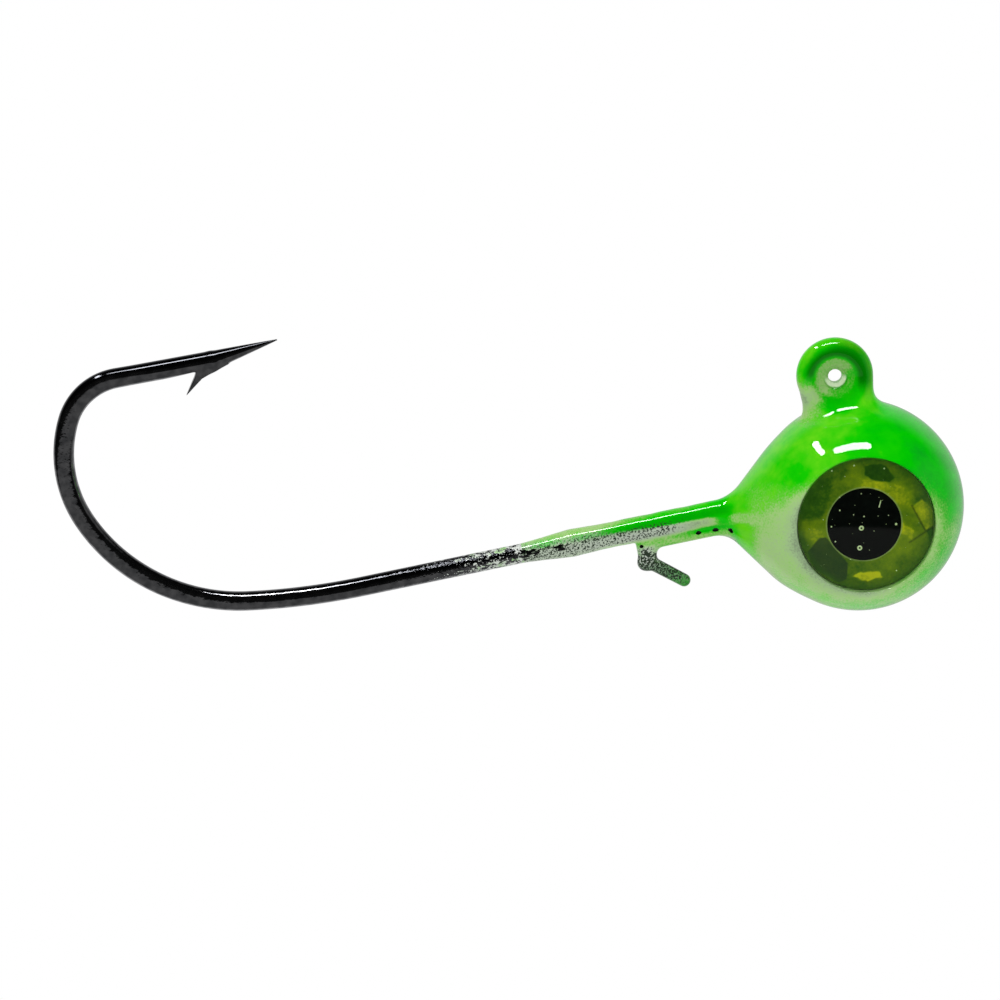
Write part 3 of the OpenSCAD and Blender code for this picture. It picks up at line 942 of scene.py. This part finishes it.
def dome_profile():
    """The lens from the middle of its flat back, round its rim, to its apex."""
    rise = DOME_Y - RIM_Y
    radius = (EYE_R**2 + rise**2) / (2 * rise)
    centre = DOME_Y - radius
    edge = math.asin(EYE_R / radius)
    back, bevel = PRINT_Y + LENS_GAP, 0.06
    profile = [(0, back), (EYE_R * 0.5, back), (EYE_R - bevel, back), (EYE_R, back + bevel), (EYE_R, RIM_Y)]
    for i in range(1, DOME_STEPS):
        a = edge * (1 - i / DOME_STEPS)
        profile.append((radius * math.sin(a), centre + radius * math.cos(a)))
    return profile + [(0, DOME_Y)]


def disc_profile(radius, back, front):
    """A flat disc with a small bevel on its front edge."""
    bevel = (front - back) * 0.35
    return [(0, back), (radius, back), (radius, front - bevel), (radius - bevel, front), (0, front)]


# The foil seen from outside, in mm across and up from its centre: soft blobs of tone, dark (0) to
# yellow (1), shards over them as (tone, softness of the edge, corners), the slate patch, and cracks.
BLOBS = (
    (0.3, 2.1, 0.86), (1.4, 2.0, 0.84), (2.3, 1.5, 0.78), (2.7, 2.3, 0.45), (1.9, 3.0, 0.42),
    (3.3, 1.4, 0.34), (3.4, 0.6, 0.68), (-0.8, 2.6, 0.66), (-1.6, 2.2, 0.52), (-1.7, 3.0, 0.36),
    (0.3, 3.7, 0.4), (-2.2, 1.6, 0.44), (-3.4, 1.2, 0.14), (-2.8, 0.1, 0.62), (-3.1, -0.5, 0.74),
    (-3.6, -1.2, 0.4), (2.4, 0.2, 0.5), (2.45, -0.4, 0.92), (2.2, -1.3, 0.72), (3.1, -1.7, 0.5),
    (1.5, -2.3, 0.6), (2.3, -2.6, 0.44), (0.6, -2.6, 0.5), (-0.5, -2.7, 0.42), (-0.4, -3.6, 0.4),
    (1.3, -3.3, 0.46), (3.0, -0.3, 0.52),
)
SHARDS = (
    (0.14, 0.05, ((-0.1, 2.95), (0.55, 2.5), (1.35, 2.52), (1.65, 2.72), (1.05, 3.5), (-0.15, 3.5))),
    (0.27, 0.2, ((-3.7, 0.2), (-2.6, 0.35), (-2.15, 1.3), (-2.0, 2.7), (-2.8, 2.7), (-3.7, 1.5))),
    (0.98, 0.06, ((-0.75, -3.2), (0.2, -3.5), (1.05, -3.25), (0.85, -2.95), (-0.3, -2.88))),
    (0.8, 0.04, ((3.53, -0.53), (3.96, -0.23), (3.9, 0.8), (3.3, 1.4), (2.69, 1.03))),
    (0.12, 0.04, ((3.53, -0.53), (3.82, -1.18), (4.0, -0.9), (3.96, -0.23))),
)
SLATE = (
    (-2.7, -0.85), (-3.4, -1.7), (-2.9, -2.75), (-1.5, -3.55), (-1.05, -3.35), (-1.0, -2.4), (-2.3, -0.8),
)
CRACKS = (((2.69, 1.03), (3.53, -0.53)), ((3.53, -0.53), (3.96, -0.23)), ((2.58, -1.18), (3.53, -0.53)))


def line_gap(u, v, start, end):
    """Distance from each point to a straight crack."""
    span = np.array(end) - np.array(start)
    along = np.clip(((u - start[0]) * span[0] + (v - start[1]) * span[1]) / (span @ span), 0.0, 1.0)
    return np.hypot(u - start[0] - along * span[0], v - start[1] - along * span[1])


def foil_values(flat, turn):
    """The foil's marks at each point, turned about its centre, and the gap round the pupil."""
    c, s = math.cos(turn), math.sin(turn)
    u, v = flat[:, 0] * c - flat[:, 1] * s, flat[:, 0] * s + flat[:, 1] * c
    bent_u = u + 0.1 * np.sin(5.1 * v + 1.0) + 0.05 * np.sin(13.0 * v + 4.0 * u)
    bent_v = v + 0.1 * np.sin(4.3 * u + 2.0) + 0.05 * np.sin(11.0 * u - 3.0 * v)
    total, weights = np.zeros(len(u)), np.zeros(len(u))
    for x, y, tone in BLOBS:
        weight = 1.0 / ((bent_u - x) ** 2 + (bent_v - y) ** 2 + 0.04) ** 2
        total += weight * tone
        weights += weight
    tones = total / weights
    for tone, soft, corners in SHARDS:
        inside = step01(soft, -soft, wedge(0.6 * u + 0.4 * bent_u, 0.6 * v + 0.4 * bent_v, corners))
        tones = tones * (1.0 - inside) + tone * inside
    slate = step01(0.04, -0.04, wedge(u, v, SLATE))
    crack = np.zeros(len(u))
    for start, end in CRACKS:
        crack = np.maximum(crack, step01(0.1, 0.02, line_gap(u, v, start, end)))
    rim = step01(3.45, 3.9, np.hypot(u, v))
    off_print = np.hypot(flat[:, 0] - PRINT_OFF[0], flat[:, 1] - PRINT_OFF[1]) - PUPIL_R
    gap = step01(0.07, 0.03, np.abs(off_print - 0.02))
    return {"tone": tones, "slate": slate, "rim": rim, "crack": crack, "gap": gap}


def foil_piece(name, side, node):
    """The foil disc, fine enough for its pattern to be held by its points."""
    radius = EYE_R - FOIL_INSET
    profile = [(0, PRINT_Y - FOIL_T), (radius, PRINT_Y - FOIL_T)]
    profile += [(radius * (1 - i / FOIL_RINGS), PRINT_Y) for i in range(FOIL_RINGS + 1)]
    flat, faces = turned_mesh(profile, FOIL_SIDES)
    piece = new_piece(name, on_side(flat, side), faces, "holographic_foil", foil_material(), node)
    turn = math.radians(SPRAY_TURN if side < 0 else LEFT_EYE_TURN)
    paint_values(piece, **foil_values(flat, turn))


def ring_bubble(centre, ring_r, tube_r, sides=24, around=10):
    """A tiny ring-shaped bubble facing out along +Z."""
    points, faces = [], []
    for i in range(sides):
        a = 2 * math.pi * i / sides
        for j in range(around):
            b = 2 * math.pi * j / around
            r = ring_r + tube_r * math.cos(b)
            points.append((r * math.cos(a), r * math.sin(a), tube_r * math.sin(b)))
            nxt, up = (i + 1) % sides, (j + 1) % around
            faces.append((i * around + j, nxt * around + j, nxt * around + up, i * around + up))
    return np.array(points) + np.array(centre), faces


def round_bubble(centre, radius, stretch=(0.0, 0.0)):
    """A tiny round bubble, or a streak if it is stretched along a vector in its plane."""
    rows = 6
    profile = []
    for i in range(rows + 1):
        a = math.pi * i / rows
        profile.append((radius * math.sin(a) if 0 < i < rows else 0, -radius * math.cos(a)))
    points, faces = turned_mesh(profile, sides=10)
    shift = np.sign(points @ np.array([*stretch, 0.0]))[:, None] * np.array([[*stretch, 0.0]])
    return points + shift + np.array(centre), faces


# Bubbles over the pupil, in mm across and up from its middle: two rings, a leaning glint, dots with
# their radius, and more dots strewn over the foil. All are painted pale, as glints of caught light.
BUBBLE_DEPTH = 0.2
RING_BUBBLES = ((-0.19, -0.17), (-0.27, -1.36))
RING_BUBBLE_R = 0.105
RING_BUBBLE_TUBE = 0.045
GLINT = (0.87, 1.28)
GLINT_R = 0.03
GLINT_HALF = 0.2
GLINT_LEAN = 0.25
STREWN_DOTS = 22
STREWN_REACH = 3.5
SEEDS = {-1: 7, 1: 11}
DOT_BUBBLES = (
    (1.83, 0.05, 0.075), (-1.47, 0.92, 0.05), (-0.05, 0.53, 0.045), (-1.94, -0.06, 0.05),
    (-1.7, -0.96, 0.045), (-0.68, 3.6, 0.055), (1.08, 3.4, 0.05), (-1.97, 3.3, 0.055),
    (-2.43, 0.37, 0.03), (-0.66, 0.64, 0.03), (1.38, 0.58, 0.03), (0.77, 0.55, 0.025),
    (-0.23, 1.9, 0.035), (-1.5, 1.7, 0.035), (0.8, 1.67, 0.02), (0.3, -1.5, 0.02), (1.25, 0.05, 0.02),
    (0.55, -0.35, 0.025), (-0.9, 0.1, 0.02), (-0.8, -2.05, 0.03), (1.9, -2.75, 0.04), (-1.2, 2.95, 0.03),
)


def bubbles_piece(name, side):
    """Two ring bubbles, a leaning glint and a scatter of dots caught in the resin over the pupil, painted
    pale as glints.
    """
    random = np.random.default_rng(SEEDS[side])
    turn = math.radians(-SPRAY_TURN if side < 0 else LEFT_EYE_TURN)
    c, s = math.cos(turn), math.sin(turn)

    def place(u, v):
        return (u * c - v * s + PRINT_OFF[0], u * s + v * c + PRINT_OFF[1], PUPIL_Y + BUBBLE_DEPTH)

    shapes = [ring_bubble(place(u, v), RING_BUBBLE_R, RING_BUBBLE_TUBE) for u, v in RING_BUBBLES]
    shapes += [round_bubble(place(u, v), r) for u, v, r in DOT_BUBBLES]
    lean = (GLINT_HALF * math.sin(GLINT_LEAN - turn), GLINT_HALF * math.cos(GLINT_LEAN - turn))
    shapes.append(round_bubble(place(*GLINT), GLINT_R, lean))
    for _ in range(STREWN_DOTS):
        a, r = random.uniform(0, 2 * math.pi), STREWN_REACH * math.sqrt(random.uniform(0, 1))
        shapes.append(round_bubble(place(r * math.cos(a), r * math.sin(a)), random.uniform(0.01, 0.018)))
    points, faces = [], []
    for p, f in shapes:
        faces += [tuple(i + len(points) for i in face) for face in f]
        points += p.tolist()
    # Painted glint: the bubbles have real shapes but are opaque and pale, where clear ones would only catch
    # the light.
    bubble = plain_material("bubble", srgb(190, 214, 150), srgb(236, 250, 214), 0.2, 0.3)
    new_piece(name, on_side(points, side), faces, "clear_resin", bubble)


def eye(name, side):
    """One eye: foil, pupil, bubbles and the domed lens over them."""
    foil_piece(name + "_eye_iris", side, name + "_eye_foil")
    points, faces = turned_mesh(disc_profile(PUPIL_R, PRINT_Y, PUPIL_Y), sides=128)
    points[:, :2] += PRINT_OFF
    points = on_side(points, side)
    new_piece(name + "_eye_print", points, faces, "black_print", pupil_material(), name + "_eye_pupil")
    points, faces = turned_mesh(dome_profile(), sides=192)
    points = on_side(points, side)
    new_piece(name + "_eye_dome", points, faces, "clear_resin", lens_material(), name + "_eye_lens")
    bubbles_piece(name + "_eye_bubbles", side)


def dress_hidden_nodes():
    """Finishes for the CAD pieces that stay: the casting, the keeper wire and the adhesive."""
    cast = plain_material("cast_lead", srgb(92, 94, 98), srgb(128, 130, 134), 0.6, 0.55, 0.9)
    wire = plain_material("drawn_wire", srgb(150, 150, 152), srgb(185, 185, 188), 0.2, 0.25, 1.0)
    foam = plain_material("foam_tape", srgb(205, 205, 192), srgb(228, 228, 218), 0.15, 0.9)
    finishes = (
        ("lead_head", cast),
        ("keeper_wire", wire),
        ("left_eye_adhesive", foam),
        ("right_eye_adhesive", foam),
    )
    for node, material in finishes:
        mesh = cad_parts[node].data
        mesh.materials.clear()
        mesh.materials.append(material)


# ---- studio and camera, in metres and degrees

CAMERA_AZIMUTH = -1.2
CAMERA_ELEVATION = 15.6
CAMERA_ROLL = 11.4
CAMERA_DISTANCE = 0.6
FRAME_WIDTH = 0.0585
BALL_RIGHT_OF_MIDDLE = 0.02094
BALL_BELOW_MIDDLE = 0.00027
FLOOR_DROP = 0.04
LIGHT_DISTANCE = 0.3
SKY_DISTANCE = 0.8
SKY_WIDTH = 0.6


def camera_axes():
    """The camera's right, up and backward directions."""
    a, e, roll = (math.radians(v) for v in (CAMERA_AZIMUTH, CAMERA_ELEVATION, CAMERA_ROLL))
    back = Vector((math.sin(a) * math.cos(e), -math.cos(a) * math.cos(e), math.sin(e)))
    level = Vector((math.cos(a), math.sin(a), 0.0))
    upright = back.cross(level)
    right = level * math.cos(roll) - upright * math.sin(roll)
    return right, back.cross(right), back


def aim(thing, right, up, back, place):
    """Turns a camera or a light to look along -back from a place."""
    turn = Matrix((right, up, back)).transposed().to_4x4()
    thing.matrix_world = Matrix.Translation(place) @ turn


def photo_camera():
    """The camera at the photograph's angle, with the ball right of the middle."""
    right, up, back = camera_axes()
    middle = Vector(BALL * MM) - right * BALL_RIGHT_OF_MIDDLE + up * BALL_BELOW_MIDDLE
    data = bpy.data.cameras.new("camera")
    data.lens = data.sensor_width * CAMERA_DISTANCE / FRAME_WIDTH
    data.clip_start = 0.01
    camera = new_object("camera", data)
    aim(camera, right, up, back, middle + back * CAMERA_DISTANCE)
    bpy.context.scene.camera = camera


def area_light(name, shape, size, place, axes, radiance, mirrored):
    """A flat light of one radiance. A mirrored one is seen only in glossy surfaces."""
    data = bpy.data.lights.new(name, "AREA")
    data.shape = shape
    data.size, data.size_y = size
    area = size[0] * size[1] * (1.0 if shape == "RECTANGLE" else math.pi / 4)
    data.energy = radiance * math.pi * area
    light = new_object(name, data)
    light.visible_diffuse = not mirrored
    light.visible_glossy = mirrored
    aim(light, *axes, place)


def strip_light(name, direction, length, width, spin):
    """A strip with round ends that faces the head. Direction and spin are in the camera's axes."""
    right, up, back = camera_axes()
    away = (right * direction[0] + up * direction[1] + back * direction[2]).normalized()
    level = (right - away * right.dot(away)).normalized()
    along = level * math.cos(spin) + away.cross(level) * math.sin(spin)
    axes = (along, away.cross(along), away)
    middle = Vector(BALL * MM) + away * LIGHT_DISTANCE
    reach = (length - width) / 2
    area_light(name, "RECTANGLE", (2 * reach, width), middle, axes, STRIP_LIGHT, True)
    for end in (-1, 1):
        place = middle + along * reach * end
        area_light(name + "_end", "ELLIPSE", (width, width), place, axes, STRIP_LIGHT, True)


def room_shader():
    """White to the camera, even light on matt surfaces, and a dark room over a grey table in mirrors."""
    t = Tree(bpy.data.worlds.new("room"))
    path = t.add("LightPath").outputs
    ray = t.add("TexCoord").outputs["Generated"]

    def toward(axis):
        return t.add("VectorMath", {0: ray, 1: tuple(axis)}, operation="DOT_PRODUCT").outputs["Value"]

    def switch(test, no, yes):
        return t.add("Mix", {0: test, 2: no, 3: yes}, data_type="FLOAT").outputs[0]

    right, up, back = camera_axes()
    table = t.rise(toward(up), -0.42, -0.47)
    wall = t.rise(toward(right), 0.74, 0.95)
    backdrop = t.rise(toward(back), -0.3, -0.75)
    mirrored = t.add_scaled(ROOM_DARK, t.math("MAXIMUM", table, wall), TABLE_GREY)
    mirrored = t.add_scaled(mirrored, backdrop, BACKDROP_GREY)
    light = switch(path["Is Camera Ray"], switch(path["Is Glossy Ray"], ROOM_LIGHT, mirrored), 1.0)
    bpy.context.scene.world = t.finish(t.add("Background", {"Color": WHITE, "Strength": light}), "World")


def studio():
    """Two strip lights for the highlights, a wide soft light above, and the room."""
    strip_light("key", (-0.106, 0.908, 0.405), length=0.19, width=0.044, spin=math.radians(4))
    strip_light("edge", (-0.568, 0.81, 0.149), length=0.118, width=0.027, spin=math.radians(-85))
    right, up, back = camera_axes()
    above = (up * 0.85 + back * 0.5 - right * 0.15).normalized()
    side = above.cross(back).normalized()
    axes = (side, above.cross(side), above)
    place = Vector(BALL * MM) + above * SKY_DISTANCE
    area_light("sky", "RECTANGLE", (SKY_WIDTH, SKY_WIDTH), place, axes, SKY_LIGHT, False)
    room_shader()


def table_top():
    """The pale table under the jig."""
    bpy.ops.mesh.primitive_grid_add(x_subdivisions=8, y_subdivisions=8, size=6.0)
    table = bpy.context.object
    table.name = "table"
    table.location = (0.0, 0.0, COAT_LOW[2] * MM - FLOOR_DROP)
    table.visible_glossy = False
    table.data.materials.append(floor_material())


paint_skin()
hook_piece()
eye("right", -1)
eye("left", 1)
dress_hidden_nodes()
table_top()
studio()
photo_camera()
bpy.context.scene.view_settings.view_transform = "Standard"
